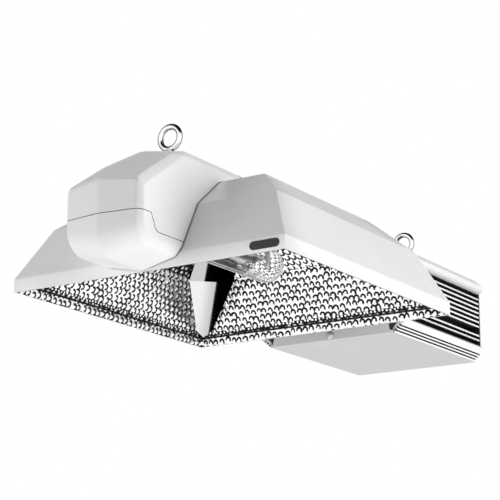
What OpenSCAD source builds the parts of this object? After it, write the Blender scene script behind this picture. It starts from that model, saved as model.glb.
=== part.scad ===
// Grow lamp: a square reflector hood with one horizontal screw-base discharge lamp, a lampholder
// cap on one side, a finned ballast on the other and a square spine that carries both.
// Frame: origin on the spine's flat top, above the centre of the hood. +X runs from the cap to the
// ballast, +Z up. Every module is drawn with its heights counted from the hood's rim.

/* [Hood] */
// Half of the hood's length along X at the rim
rim_x = 143; // [130:1:160]
// Width of the hood divided by its length
hood_aspect = 0.98; // [0.9:0.01:1.0]
// Height of the vertical band at the rim
band_h = 11.8; // [8:0.2:14]
// Height of the fold between the main wall and the shoulder
fold_h = 58.4; // [54:0.2:62]
// Height of the hood's flat top
hood_h = 85.6; // [82:0.2:88]
// Half length at the main fold
fold_x = 119.2; // [112:0.2:122]
// Half length of the flat top
top_x = 87.1; // [80:0.2:90]
// Thickness of the hood's sheet
sheet = 1.2; // [0.8:0.1:1.6]
// Thickness of the reflector liner
liner_t = 0.8; // [0.5:0.1:1.0]
// Gap between the hood and its liner
liner_gap = 0.3; // [0.2:0.1:0.6]
// Width of a corner deflector at its fold
deflector_w = 44; // [36:1:50]

/* [Lamp] */
// Radius of the glass tube
tube_r = 16.5; // [15:0.5:19]
// Height of the lamp's axis above the rim
lamp_z = 46; // [45:0.5:50]
// Where the dome of the glass ends
lamp_tip_x = 63; // [40:1:70]
// Where the tube leaves its screw base
base_front_x = -146; // [-148:1:-144]
// Radius of the screw base
base_r = 19.5; // [18:0.1:19.5]

/* [Cap] */
// Half width of the cap and the spine
cap_w = 39; // [37:0.5:41]
// Front of the cap at its centre crease
cap_front_x = -204.6; // [-208:0.2:-202]
// Wall of the moulded covers
cap_wall = 2.4; // [1.8:0.1:3]
// Height of the seam between the shell and the lower cover
seam_z = 35.7; // [33:0.1:38]
// Gap around the removable cover
seam_gap = 0.6; // [0.3:0.1:0.8]

/* [Spine] */
// Height of the spine's flat top above the rim
spine_top = 104; // [102:0.5:106]
// Where the cap's tail ends and the spine cover starts
tail_x = -45; // [-60:1:-35]
// Far end of the spine cover
cover_end_x = 262; // [240:1:264]
// Distance between the two eye bolts
eye_pitch = 424; // [410:1:430]
// Position of the near eye bolt
eye_x = -106.8; // [-112:0.2:-100]
// Radius of an eye bolt's shank
shank_r = 3; // [2.5:0.5:4]
// Radius of the middle of the eye's wire
eye_ring_r = 10.2; // [9:0.1:12]
// Radius of the eye's wire
eye_wire_r = 2.6; // [2:0.1:3]

/* [Ballast] */
// Near end of the ballast
ballast_x0 = 161.8; // [158:0.2:170]
// Far end of the ballast
ballast_x1 = 340.7; // [330:0.2:350]
// Height of the ballast's underside
ballast_z0 = -4.2; // [-8:0.2:-2]
// Height of the ballast's top
ballast_z1 = 81.2; // [78:0.2:82]
// Half width over the fins
fin_y = 75.7; // [72:0.1:78]
// Half width of the case inside the fins
core_y = 62; // [56:0.5:64]
// Distance from fin to fin
fin_pitch = 4.85; // [4.7:0.05:5]
// Thickness of a fin
fin_t = 1.7; // [1.2:0.1:2.2]
// Fins on the upper case
upper_fins = 7; // [5:1:7]
// Fins on the lower case
lower_fins = 2; // [1:1:2]

/* [Hidden] */
$fn = 48;
eps = 0.01;
far_eye_x = eye_x + eye_pitch;
hood_levels = [[rim_x, 0], [rim_x, band_h], [fold_x, fold_h], [top_x, hood_h]];
liner_inset = sheet + liner_gap;
lamp_hole_r = base_r + 2;
// Chamfer along the top of the spine and the cap
chamfer_y = 8.5;
chamfer_z = 8.5;
// Inside of the spine: the steel channel
channel_y = 24;
channel_top = spine_top - 4;
channel_t = 3;
channel_x0 = -128;
channel_x1 = 334;
shank_fit = 0.06;
wire_r = 1.3;
wire_y = 14;
wire_z = hood_h + 8.4;
wire_pitch = 3.4;
grommet_r = 6.5;
// Lampholder
holder_r = 27;
holder_x0 = -183;
holder_x1 = -141;
socket_depth = 39;
base_depth = 31;
// Ballast
plate_t = 2.5;
case_t = 4;
plate_notch = [64.5, 4.5];
gasket_notch = [72, 5];
case_x0 = ballast_x0 + plate_t;
case_x1 = ballast_x1 - plate_t;
top_fin_z = 60.7;
low_fin_z = 22;
joint_z = 26.8;
board_z = 12;
board_t = 1.6;
spacer_h = hood_h - ballast_z1;
knob_y = -34;
knob_z = 56;
knob_x0 = ballast_x1 + 0.4;

// ---- frame ----

module from_rim() { translate([0, 0, -spine_top]) children(); }

module mirrored_y() {
    children();
    mirror([0, 1, 0]) children();
}

// ---- hood ----

// Half length of the hood's shoulder at a height between the main fold and the top
function shoulder_x(z) = fold_x + (top_x - fold_x) * (z - fold_h) / (hood_h - fold_h);

// Outline of the hood's solid, moved outwards by grow, with its lengths multiplied by k
module hood_outline(grow, k, low) {
    side = concat([[rim_x, low]], [for (i = [1 : 3]) hood_levels[i]]);
    polygon(concat([for (p = side) [-k * p[0] - grow, p[1]]],
        [for (i = [3 : -1 : 0]) [k * side[i][0] + grow, side[i][1]]]));
}

module hood_block(grow, low) {
    reach = 3 * rim_x;
    intersection() {
        rotate([90, 0, 0]) linear_extrude(reach, center = true) hood_outline(grow, 1, low);
        rotate([90, 0, 90]) linear_extrude(reach, center = true)
            hood_outline(grow, hood_aspect, low);
    }
}

// Wedge between the two mitre planes on the side that turn points to
module mitre(turn) {
    reach = 2 * rim_x;
    rotate([0, 0, turn])
        translate([0, 0, -10])
            linear_extrude(hood_h + 20)
                polygon(turn % 180 == 0
                    ? [[0, 0], [-reach, -reach * hood_aspect], [-reach, reach * hood_aspect]]
                    : [[0, 0], [-reach * hood_aspect, -reach], [-reach * hood_aspect, reach]]);
}

// Folded sheet of one side, inset from the hood's outside, cut at both mitres
module skin_panel(inset, thick, turn) {
    k = turn % 180 == 0 ? 1 : hood_aspect;
    end_z = hood_h - inset - thick;
    outer = [[rim_x, 0], [rim_x, band_h], [fold_x, fold_h], [shoulder_x(end_z), end_z]];
    intersection() {
        rotate([90, 0, turn]) linear_extrude(3 * rim_x, center = true) polygon(concat(
            [for (p = outer) [inset - k * p[0], p[1]]],
            [for (i = [3 : -1 : 0]) [inset + thick - k * outer[i][0], outer[i][1]]]));
        mitre(turn);
    }
}

module lamp_hole() {
    translate([-rim_x, 0, lamp_z]) rotate([0, 90, 0]) cylinder(r = lamp_hole_r, h = 60);
}

module hood_near() {
    color("whitesmoke") from_rim() difference() {
        skin_panel(0, sheet, 0);
        lamp_hole();
    }
}

module hood_far() { color("whitesmoke") from_rim() skin_panel(0, sheet, 180); }
module hood_right() { color("whitesmoke") from_rim() skin_panel(0, sheet, 90); }
module hood_left() { color("whitesmoke") from_rim() skin_panel(0, sheet, 270); }

module flat_top(inset, thick) {
    half = top_x - inset;
    translate([-half, -half * hood_aspect, hood_h - inset - thick])
        cube([2 * half, 2 * half * hood_aspect, thick]);
}

module hood_top() {
    color("whitesmoke") from_rim() difference() {
        flat_top(0, sheet);
        spine_screw_places() translate([0, 0, hood_h - 5]) cylinder(r = 2.1, h = 10);
        rivet_places() translate([0, 0, hood_h - 5]) cylinder(r = 1.6, h = 10);
    }
}

module rivet_places() {
    inset = 9;
    for (x = [-1, 1], y = [-1, 1])
        translate([x * (top_x - inset), y * (top_x * hood_aspect - inset), 0]) children();
}

module hood_rivets() {
    color("silver") from_rim() rivet_places() translate([0, 0, hood_h]) {
        rotate_extrude() polygon([[0, 0], [3.2, 0], [2.6, 0.9], [1.2, 1.4], [0, 1.4]]);
        translate([0, 0, -liner_inset - liner_t]) cylinder(r = 1.6, h = liner_inset + liner_t);
    }
}

// ---- reflector ----

module liner_near() {
    color("gainsboro") from_rim() difference() {
        skin_panel(liner_inset, liner_t, 0);
        lamp_hole();
    }
}

module liner_far() { color("gainsboro") from_rim() skin_panel(liner_inset, liner_t, 180); }
module liner_right() { color("gainsboro") from_rim() skin_panel(liner_inset, liner_t, 90); }
module liner_left() { color("gainsboro") from_rim() skin_panel(liner_inset, liner_t, 270); }

module liner_top() {
    color("gainsboro") from_rim() difference() {
        flat_top(liner_inset, liner_t);
        rivet_places() translate([0, 0, hood_h - 5]) cylinder(r = 1.6, h = 10);
    }
}

// Smooth plate across an inner corner: a triangle on the main wall and a strip on the shoulder
// Inside corner of the liner at height z, moved back along X and Y from the corner by legs
function inner_corner(z, leg_x, leg_y) =
    let (inset = liner_inset + liner_t + 0.8,
        low = z < fold_h ? [rim_x, band_h] : [fold_x, fold_h],
        high = z < fold_h ? [fold_x, fold_h] : [top_x, hood_h],
        x = low[0] + (high[0] - low[0]) * (z - low[1]) / (high[1] - low[1]))
    [x - inset - leg_x, x * hood_aspect - inset - leg_y, z];

// Thin plate through the given points of one corner
module deflector_plate(points) {
    hull() for (p = points, t = [0, 0.5]) translate([p[0] + t, p[1] + t, p[2] + t]) cube(eps);
}

module corner_deflector() {
    leg = deflector_w / sqrt(2);
    low_leg = 0.36 * leg;
    top_leg = 0.77 * leg;
    fold = [for (k = [[leg, 0], [0, leg]]) inner_corner(54.8, k[0], k[1])];
    foot = [for (k = [[low_leg, 0], [0, low_leg]]) inner_corner(13.5, k[0], k[1])];
    head = [for (k = [[top_leg, 0], [0, top_leg]]) inner_corner(81, k[0], k[1])];
    middle = (foot[0] + foot[1]) / 2;
    tip = middle + (middle - (fold[0] + fold[1]) / 2) * 0.13;
    deflector_plate([each fold, each foot, tip]);
    deflector_plate([each fold, each head]);
}

module corner_deflectors() {
    color("white") from_rim() {
        mirrored_y() corner_deflector();
        mirror([1, 0, 0]) mirrored_y() corner_deflector();
    }
}

module liner_screws() {
    color("silver") from_rim() rivet_places()
        translate([0, 0, hood_h - liner_inset - liner_t - 1.2])
            rotate_extrude() polygon([[0, 1.2], [3, 1.2], [2.6, 0.5], [1.5, 0], [0, 0]]);
}

// Blank badge with round ends, low on the near side
module name_plate() {
    length = 28;
    height = 7;
    color("black") from_rim() translate([-rim_x - 0.8, -121, 6]) rotate([90, 0, 90])
        linear_extrude(0.8) {
            square([length - height, height], center = true);
            for (end = [-1, 1]) translate([end * (length - height) / 2, 0]) circle(d = height);
        }
}

// ---- cap ----

// Quarter of an ellipse at y, from the cap's front at x0 and z0 down to its underside at x1 and z1
function under_curve(x0, x1, z0, z1, y) = [for (turn = [0 : 18 : 90])
    [x0 + (x1 - x0) * (1 - cos(turn)), y, z0 + (z1 - z0) * sin(turn)]];

// Corners of the cap on its left half; the right half mirrors them
cap_corners = [
    each under_curve(cap_front_x, cap_front_x + 23.6, 22, 0, 0),
    each under_curve(cap_front_x + 4.7, cap_front_x + 26, 27, 7.6, 35.3),
    each under_curve(cap_front_x + 10.6, cap_front_x + 28, 31, 15, cap_w),
    [-100, 0, 0.5], [-100, 32, 7.6], [-100, cap_w, 14.6],
    [cap_front_x, 0, 64], [cap_front_x + 6.7, 0, 69.5],
    [cap_front_x + 4.7, 35.3, 61.5], [cap_front_x + 8.9, 35, 65.3],
    [cap_front_x + 10.6, cap_w, 56], [cap_front_x + 13.3, cap_w, 58.5],
    [-147, 0, spine_top], [-128, cap_w - chamfer_y, spine_top],
    [-139.2, cap_w, spine_top - chamfer_z], [-152.5, cap_w - 4, 94.5],
    [tail_x, 0, spine_top], [tail_x, cap_w - chamfer_y, spine_top],
    [tail_x, cap_w, spine_top - chamfer_z], [tail_x, cap_w, hood_h],
];

module cap_block(shrink) {
    middle = [-150, 0, 52];
    k = [1 - shrink / 55, 1 - shrink / cap_w, 1 - shrink / 52];
    hull() for (c = cap_corners, side = [-1, 1]) {
        p = [c[0], side * c[1], c[2]];
        q = [for (i = [0 : 2]) middle[i] + (p[i] - middle[i]) * k[i]];
        translate(c[0] > -101 ? [p[0] + shrink, q[1], q[2]] : q) cube(eps, center = true);
    }
}

// The space taken by the hood and its top, with the cap's clearance
module hood_clearance() {
    hood_block(seam_gap, -30);
    translate([-top_x, -rim_x, hood_h - 20]) cube([rim_x, 2 * rim_x, 20]);
}

// Everything below the stepped seam, lowered by gap
module below_seam(gap) {
    step_z = 21;
    rotate([90, 0, 0]) linear_extrude(4 * cap_w, center = true)
        polygon([[-220, -20], [-220, seam_z - gap], [-184 - gap, seam_z - gap],
            [-181.2 - gap, seam_z - 2 - gap], [-179, step_z + 3 - gap],
            [-176, step_z - gap], [-90, step_z - gap], [-90, -20]]);
}

module cap_shell() {
    difference() {
        cap_block(0);
        cap_block(cap_wall);
        hood_clearance();
    }
}

module cap_upper_shell() {
    color("gainsboro") from_rim() difference() {
        cap_shell();
        below_seam(0);
        translate([eye_x, 0, spine_top - 10]) cylinder(r = shank_r + 1.5, h = 20);
        translate([tail_x - 1, -cap_w + cap_wall, hood_h - 1])
            cube([20, 2 * (cap_w - cap_wall), spine_top - hood_h - cap_wall - 1]);
    }
}

module cap_lower_cover() {
    color("whitesmoke") from_rim() intersection() {
        cap_shell();
        below_seam(seam_gap);
    }
}

// ---- lampholder ----

module along_x(x0, z = lamp_z) { translate([x0, 0, z]) rotate([0, 90, 0]) children(); }

module bracket_screw_places() {
    for (y = [-4.5, 4.5]) translate([-116, y, 0]) children();
}

// Clamp ring round the lampholder, hung from the spine channel by a bent arm
module lampholder_bracket() {
    arm_z = lamp_z + holder_r + 1;
    color("silver") from_rim() {
        along_x(-160) difference() {
            cylinder(r = holder_r + 2.4, h = 12);
            translate([0, 0, -1]) cylinder(r = holder_r, h = 14);
        }
        difference() {
            rotate([90, 0, 0]) linear_extrude(17, center = true)
                polygon([[-160, arm_z], [-148, arm_z], [-126, hood_h - 3], [-102, hood_h - 3],
                    [-102, hood_h], [-130, hood_h], [-148, arm_z + 5.5], [-160, arm_z + 3.5]]);
            bracket_screw_places() translate([0, 0, 70]) cylinder(r = 1.7, h = 20);
        }
    }
}

module lampholder_body() {
    color("ivory") from_rim() difference() {
        union() {
            along_x(holder_x0) cylinder(r = holder_r, h = holder_x1 - holder_x0);
            along_x(holder_x0 - 9) cylinder(r = 14, h = 10);
            translate([holder_x1 - 6, wire_y - 6, 60]) cube([6, 12, 14]);
        }
        along_x(holder_x1 - socket_depth) cylinder(r = 21, h = socket_depth + 1);
    }
}

module lampholder_shell() {
    color("goldenrod") from_rim() along_x(holder_x1 - socket_depth + 4) difference() {
        cylinder(r = 21, h = 28);
        translate([0, 0, -1]) cylinder(r = base_r + 0.5, h = 30);
    }
}

module lampholder_contact() {
    color("goldenrod") from_rim() along_x(holder_x1 - socket_depth)
        rotate_extrude() polygon([[0, 0], [7, 0], [7, 0.3], [4, 0.5], [0, 0.5]]);
}

module bracket_screws() {
    color("silver") from_rim() bracket_screw_places() {
        translate([0, 0, hood_h + channel_t]) cylinder(r = 3.4, h = 2);
        translate([0, 0, hood_h - 3]) cylinder(r = 1.7, h = 3 + channel_t);
    }
}

// ---- spine ----

module spine_section(half, top, low, wall) {
    cy = chamfer_y;
    difference() {
        polygon([[-half, low], [-half, top - chamfer_z], [-half + cy, top], [half - cy, top],
            [half, top - chamfer_z], [half, low]]);
        polygon([[-half + wall, low - 1], [-half + wall, top - chamfer_z - wall / 2],
            [-half + cy + wall / 2, top - wall], [half - cy - wall / 2, top - wall],
            [half - wall, top - chamfer_z - wall / 2], [half - wall, low - 1]]);
    }
}

module spine_cover() {
    length = cover_end_x - tail_x;
    color("gainsboro") from_rim() {
        translate([tail_x, 0, 0]) rotate([90, 0, 90])
            linear_extrude(length) spine_section(cap_w, spine_top, hood_h, cap_wall);
        difference() {
            translate([cover_end_x - cap_wall, -cap_w + 2, hood_h])
                cube([cap_wall, 2 * cap_w - 4, spine_top - hood_h - 8]);
            translate([cover_end_x - 5, -channel_y - 0.2, hood_h - 1])
                cube([10, 2 * channel_y + 0.4, 40]);
        }
    }
}

module spine_screw_places() {
    for (x = [-70, 70], y = [-12, 12]) translate([x, y, 0]) children();
}

module spine_channel() {
    length = channel_x1 - channel_x0;
    color("silver") from_rim() difference() {
        translate([channel_x0, -channel_y, hood_h])
            cube([length, 2 * channel_y, channel_top - hood_h]);
        translate([channel_x0 - 1, -channel_y + channel_t, hood_h + channel_t])
            cube([length - 1, 2 * (channel_y - channel_t), channel_top - hood_h - 2 * channel_t]);
        for (x = [eye_x, far_eye_x]) translate([x, 0, channel_top - 10])
            cylinder(r = shank_r + shank_fit, h = 20);
        spine_screw_places() translate([0, 0, hood_h - 1]) cylinder(r = 2.1, h = 8);
        bracket_screw_places() translate([0, 0, hood_h - 1]) cylinder(r = 1.7, h = 8);
        wire_exit() translate([0, 0, hood_h - 1]) cylinder(r = grommet_r, h = 8);
    }
}

module spine_screws() {
    color("silver") from_rim() spine_screw_places() {
        translate([0, 0, hood_h - sheet]) cylinder(r = 2.1, h = sheet + channel_t);
        translate([0, 0, hood_h + channel_t]) cylinder(r = 3.8, h = 2.4);
    }
}

module wire_exit() { translate([186, wire_y, 0]) children(); }

// Three leads from the lampholder through the channel and down into the ballast
module lead_wires() {
    start_x = holder_x1 - 3;
    color("dimgray") from_rim() for (side = [-1 : 1]) translate([0, wire_y + side * wire_pitch, 0]) {
        along_x(start_x, wire_z) cylinder(r = wire_r, h = 186 - start_x);
        translate([186, 0, hood_h - 24]) cylinder(r = wire_r, h = wire_z - hood_h + 24);
        translate([start_x, 0, 74]) cylinder(r = wire_r, h = wire_z - 74);
        for (x = [start_x, 186]) translate([x, 0, wire_z]) sphere(r = wire_r);
    }
}

module grommets() {
    color("black") from_rim() wire_exit() difference() {
        union() {
            translate([0, 0, ballast_z1]) cylinder(r = 10, h = spacer_h);
            translate([0, 0, ballast_z1 - case_t]) cylinder(r = grommet_r, h = case_t);
            translate([0, 0, hood_h]) cylinder(r = grommet_r, h = channel_t);
        }
        for (side = [-1 : 1]) translate([0, side * wire_pitch, 0]) cylinder(r = wire_r, h = 100);
    }
}

// ---- eye bolts ----

eye_lift = 23;
eye_flange_z = spine_top + 0.5;

module eye_bolt(x, foot) {
    ring_z = spine_top + eye_lift;
    color("silver") from_rim() translate([x, 0, 0]) {
        translate([0, 0, ring_z]) rotate([0, 90, 0]) rotate_extrude() difference() {
            translate([eye_ring_r, 0]) circle(r = eye_wire_r);
            translate([0, -1]) square([eye_ring_r - eye_wire_r + 0.15, 2]);
        }
        translate([0, 0, foot]) cylinder(r = 6, h = 2.2);
        translate([0, 0, foot]) cylinder(r1 = 4.6, r2 = 3, h = ring_z - eye_ring_r - foot);
        translate([0, 0, channel_top - 11]) cylinder(r = shank_r, h = 11 + foot - channel_top);
    }
}

module eye_nut(x) {
    color("silver") from_rim() translate([x, 0, channel_top - channel_t - 0.3 - 5]) difference() {
        cylinder(r = 5.6, h = 5, $fn = 6);
        translate([0, 0, -1]) cylinder(r = shank_r, h = 7);
    }
}

module eye_bolt_near() { eye_bolt(eye_x, eye_flange_z); }
module eye_bolt_far() { eye_bolt(far_eye_x, channel_top + 1.8); }
module eye_nut_near() { eye_nut(eye_x); }
module eye_nut_far() { eye_nut(far_eye_x); }

module eye_washers() {
    color("silver") from_rim() translate([far_eye_x, 0, channel_top]) difference() {
        cylinder(r = 9, h = 1.5);
        translate([0, 0, -1]) cylinder(r = shank_r + shank_fit, h = 4);
    }
}

// ---- lamp ----

module tube_outline(r, x1) {
    straight = x1 - r - base_front_x;
    union() {
        square([r, straight]);
        translate([0, straight]) intersection() {
            circle(r = r, $fn = 64);
            square(r);
        }
    }
}

module lamp_glass() {
    wall = 1.3;
    color("white", 0.4) from_rim() along_x(base_front_x) rotate_extrude() difference() {
        tube_outline(tube_r, lamp_tip_x);
        translate([0, -1]) tube_outline(tube_r - wall, lamp_tip_x - wall + 1);
    }
}

arc_x0 = -78;
arc_x1 = 12;
arc_r = 6.5;

module lamp_arc_tube() {
    length = arc_x1 - arc_x0;
    color("white") from_rim() along_x(arc_x0) rotate_extrude() polygon([[0, -12], [2.4, -12],
        [2.4, 0], [arc_r, 5], [arc_r, length - 5], [2.4, length], [2.4, length + 12],
        [0, length + 12]]);
}

module lamp_frame() {
    color("silver") from_rim() {
        for (y = [-11.5, 11.5]) translate([0, y, 0]) along_x(base_front_x)
            cylinder(r = 0.9, h = arc_x1 + 16 - base_front_x);
        for (x = [arc_x0 - 10, arc_x1 + 9]) difference() {
            translate([x, -12, lamp_z - 3]) cube([1, 24, 6]);
            along_x(x - 1) cylinder(r = 2.4, h = 3);
        }
    }
}

module lamp_support() {
    color("gray") from_rim() along_x(arc_x1 + 14) difference() {
        cylinder(r = tube_r - 1.8, h = 4);
        translate([0, 0, -1]) cylinder(r = tube_r - 4.2, h = 6);
        for (turn = [0 : 90 : 270]) rotate([0, 0, turn + 45])
            translate([tube_r - 6, -3, -1]) cube([8, 6, 6]);
    }
}

module lamp_base() {
    threads = 5;
    thread_h = 20;
    color("silver") from_rim() along_x(base_front_x - base_depth) rotate_extrude() polygon(concat(
        [[0, 0], [base_r - 5, 0]],
        [for (i = [0 : 2 * threads - 1]) [base_r - 0.9 * (i % 2), 3 + thread_h / (2 * threads) * i]],
        [[base_r, base_depth - 7], [base_r, base_depth], [0, base_depth]]));
}

module lamp_contact() {
    color("goldenrod") from_rim() along_x(base_front_x - base_depth - 2.2)
        rotate_extrude() polygon([[0, 0], [3, 0], [6, 1.2], [6, 2.2], [0, 2.2]]);
}

// ---- ballast ----

module extruded(x0, x1) {
    translate([x0, 0, 0]) rotate([90, 0, 90]) linear_extrude(x1 - x0) children();
}

module fins(top_z, count) {
    for (i = [0 : count - 1], side = [-1, 1])
        translate([side > 0 ? core_y - 1 : -fin_y, top_z - i * fin_pitch - fin_t / 2])
            square([fin_y - core_y + 1, fin_t]);
}

module upper_section() {
    half = core_y;
    inside = core_y - case_t;
    flange = ballast_z1 - 7;
    polygon([[-inside, joint_z], [-half, joint_z], [-half, 65.9], [-fin_y, 65.9], [-81.2, 69],
        [-80, flange], [-72.8, ballast_z1], [72.8, ballast_z1], [80, flange], [81.2, 69],
        [fin_y, 65.9], [half, 65.9], [half, joint_z], [inside, joint_z],
        [inside, ballast_z1 - case_t], [-inside, ballast_z1 - case_t]]);
}

module ballast_upper_case() {
    color("white") from_rim() difference() {
        union() {
            extruded(case_x0, case_x1) upper_section();
            extruded(case_x0, case_x1) fins(top_fin_z, upper_fins);
        }
        wire_exit() translate([0, 0, ballast_z1 - 10]) cylinder(r = grommet_r, h = 20);
        spacer_places() translate([0, 0, ballast_z1 - 10]) cylinder(r = 2.6, h = 20);
    }
}

module lower_section() {
    half = core_y;
    difference() {
        union() {
            translate([-half, 1]) square([2 * half, joint_z - 1]);
            polygon([[-half, 11.8], [-75.5, 11.8], [-80.9, 8], [-80.9, 5], [-70, ballast_z0],
                [70, ballast_z0], [80.9, 5], [80.9, 8], [75.5, 11.8], [half, 11.8]]);
            fins(low_fin_z, lower_fins);
        }
        translate([-half + case_t, 2]) square([2 * (half - case_t), 60]);
        for (side = [-1, 1], t = [0.36, 0.59, 0.82])
            translate([side * (80.9 - 10.9 * t), 5 - 9.2 * t])
                rotate(side * 40.2) square([1.7, 4.8], center = true);
        translate([-69, ballast_z0 - 1]) square([138, 3]);
    }
}

module ballast_lower_case() {
    color("white") from_rim() extruded(case_x0, case_x1) lower_section();
}

module ballast_base_panel() {
    color("lightgray") from_rim() translate([ballast_x0, -68.8, ballast_z0])
        cube([ballast_x1 - ballast_x0, 137.6, 2]);
}

// Outline of an end plate or gasket, cut in at its bottom corners as far as notch
module plate_outline(notch) {
    polygon([[-66, ballast_z0 + 2], [-notch[0], notch[1]], [-76, 8], [-76, 73], [-70, 79.5],
        [70, 79.5], [76, 73], [76, 8], [notch[0], notch[1]], [66, ballast_z0 + 2]]);
}

module plate_screw_points() {
    for (p = [[0, 0.2], [-58, 73], [58, 73]]) translate([0, p[0], p[1]]) children();
}

module screw_holes(x) {
    plate_screw_points() along_x(x, 0) cylinder(r = 1.8, h = 12);
}

module ballast_near_plate() {
    color("lightgray") from_rim() difference() {
        extruded(ballast_x0, ballast_x0 + plate_t - 0.8) plate_outline(plate_notch);
        screw_holes(ballast_x0 - 4);
    }
}

module ballast_far_plate() {
    color("lightgray") from_rim() difference() {
        extruded(ballast_x1 - plate_t + 0.8, ballast_x1) plate_outline(plate_notch);
        screw_holes(ballast_x1 - 6);
        translate([ballast_x1 - 6, 16, 40]) cube([12, 28, 20]);
        for (y = [-10, -26]) translate([ballast_x1 - 6, y - 6.5, 18]) cube([12, 13, 12]);
        translate([0, knob_y, knob_z]) along_x(ballast_x1 - 6, 0) cylinder(r = 3.1, h = 12);
        translate([0, -10, knob_z]) along_x(ballast_x1 - 6, 0) cylinder(r = 2.5, h = 12);
    }
}

module ballast_gaskets() {
    color("black") from_rim() for (x = [ballast_x0 + plate_t - 0.8, ballast_x1 - plate_t])
        difference() {
            extruded(x, x + 0.8) plate_outline(gasket_notch);
            extruded(x - 1, x + 2) translate([-core_y + case_t, 7])
                square([2 * (core_y - case_t), 62]);
            screw_holes(x - 4);
        }
}

module plate_screws() {
    color("silver") from_rim() plate_screw_points() {
        along_x(ballast_x0 - 2.2, 0)
            rotate_extrude() polygon([[0, 0], [2.4, 0.3], [3.9, 1.4], [3.9, 2.2], [0, 2.2]]);
        along_x(ballast_x0, 0) cylinder(r = 1.8, h = plate_t);
        along_x(ballast_x1, 0)
            rotate_extrude() polygon([[0, 2.2], [2.4, 1.9], [3.9, 0.8], [3.9, 0], [0, 0]]);
        along_x(ballast_x1 - plate_t, 0) cylinder(r = 1.8, h = plate_t);
    }
}

module spacer_places() {
    for (x = [214, 300], y = [-14, 14]) translate([x, y, 0]) children();
}

module ballast_spacers() {
    color("dimgray") from_rim() spacer_places() {
        translate([0, 0, ballast_z1]) cylinder(r = 6, h = spacer_h);
        translate([0, 0, ballast_z1 - case_t]) cylinder(r = 2.6, h = case_t);
    }
}

// ---- inside the ballast ----

module circuit_board() {
    color("darkgreen") from_rim() translate([case_x0 + 6, -54, board_z])
        cube([case_x1 - case_x0 - 12, 108, board_t]);
}

module board_standoffs() {
    color("goldenrod") from_rim() for (x = [case_x0 + 14, case_x1 - 14], y = [-46, 46])
        translate([x, y, 2]) cylinder(r = 3, h = board_z - 2);
}

module transformer_core() {
    color("dimgray") from_rim() translate([228, -24, board_z + board_t]) difference() {
        cube([46, 48, 42]);
        translate([-1, 8, 8]) cube([48, 32, 26]);
    }
}

module transformer_winding() {
    color("peru") from_rim() translate([224, -16, board_z + board_t + 8]) cube([54, 32, 26]);
}

module filter_choke() {
    color("peru") from_rim() translate([198, -30, board_z + board_t]) difference() {
        cylinder(r = 15, h = 14);
        translate([0, 0, -1]) cylinder(r = 7, h = 16);
    }
}

module capacitors() {
    color("navy") from_rim() for (p = [[200, 20], [200, 42], [300, -38], [308, -14]])
        translate([p[0], p[1], board_z + board_t]) cylinder(r = 9, h = 30);
}

module heat_sink_bar() {
    color("silver") from_rim() translate([232, core_y - case_t - 8, board_z + board_t])
        cube([70, 8, 34]);
}

module terminal_block() {
    color("darkgreen") from_rim() difference() {
        translate([174, -12, board_z + board_t]) cube([12, 24, 14]);
        for (y = [-8, 0, 8]) translate([180, y, board_z + board_t + 8]) cylinder(r = 2, h = 8);
    }
}

module power_inlet() {
    color("black") from_rim() difference() {
        union() {
            translate([ballast_x1 - 24, 16, 40]) cube([24, 28, 20]);
            translate([ballast_x1, 13, 37]) cube([2.4, 34, 26]);
        }
        translate([ballast_x1 - 13, 19, 43]) cube([20, 22, 14]);
    }
}

module control_ports() {
    color("dimgray") from_rim() for (y = [-10, -26]) difference() {
        translate([ballast_x1 - 14, y - 6.5, 18]) cube([15, 13, 12]);
        translate([ballast_x1 - 9, y - 5, 19.5]) cube([12, 10, 8]);
    }
}

module dimmer_knob() {
    color("black") from_rim() translate([0, knob_y, knob_z]) along_x(knob_x0, 0) difference() {
        union() {
            rotate_extrude() polygon([[0, 0], [9, 0], [9, 2], [7.6, 3.5], [7, 12.5], [6.2, 13.5],
                [0, 13.5]]);
            for (turn = [0 : 30 : 330]) rotate([0, 0, turn])
                translate([6.6, -0.6, 3]) cube([1.3, 1.2, 9.5]);
        }
        translate([0, 0, -1]) cylinder(r = 3, h = 9);
    }
}

module dimmer_shaft() {
    color("silver") from_rim() translate([0, knob_y, knob_z])
        along_x(ballast_x1 - 12, 0) cylinder(r = 3, h = knob_x0 - ballast_x1 + 20);
}

module dimmer_control() {
    color("darkgreen") from_rim() translate([ballast_x1 - 20, knob_y - 8, knob_z - 8]) difference() {
        cube([17.3, 16, 16]);
        translate([7, 8, 8]) rotate([0, 90, 0]) cylinder(r = 3.06, h = 20);
    }
}

module status_lens() {
    color("limegreen") from_rim() translate([0, -10, knob_z]) along_x(ballast_x1 - 4, 0)
        rotate_extrude() polygon([[0, 0], [2.5, 0], [2.5, 4], [3.4, 4], [3.2, 5], [1.8, 6],
            [0, 6.2]]);
}

hood_near();
hood_far();
hood_left();
hood_right();
hood_top();
hood_rivets();
liner_near();
liner_far();
liner_left();
liner_right();
liner_top();
corner_deflectors();
liner_screws();
name_plate();
cap_upper_shell();
cap_lower_cover();
lampholder_bracket();
lampholder_body();
lampholder_shell();
lampholder_contact();
bracket_screws();
spine_channel();
spine_cover();
spine_screws();
lead_wires();
grommets();
eye_bolt_near();
eye_bolt_far();
eye_nut_near();
eye_nut_far();
eye_washers();
lamp_glass();
lamp_arc_tube();
lamp_frame();
lamp_support();
lamp_base();
lamp_contact();
ballast_upper_case();
ballast_lower_case();
ballast_base_panel();
ballast_near_plate();
ballast_far_plate();
ballast_gaskets();
plate_screws();
ballast_spacers();
circuit_board();
board_standoffs();
transformer_core();
transformer_winding();
filter_choke();
capacitors();
heat_sink_bar();
terminal_block();
power_inlet();
control_ports();
dimmer_knob();
dimmer_shaft();
dimmer_control();
status_lens();
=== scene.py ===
"""Looks of the grow lamp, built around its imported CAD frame."""
import math

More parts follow.
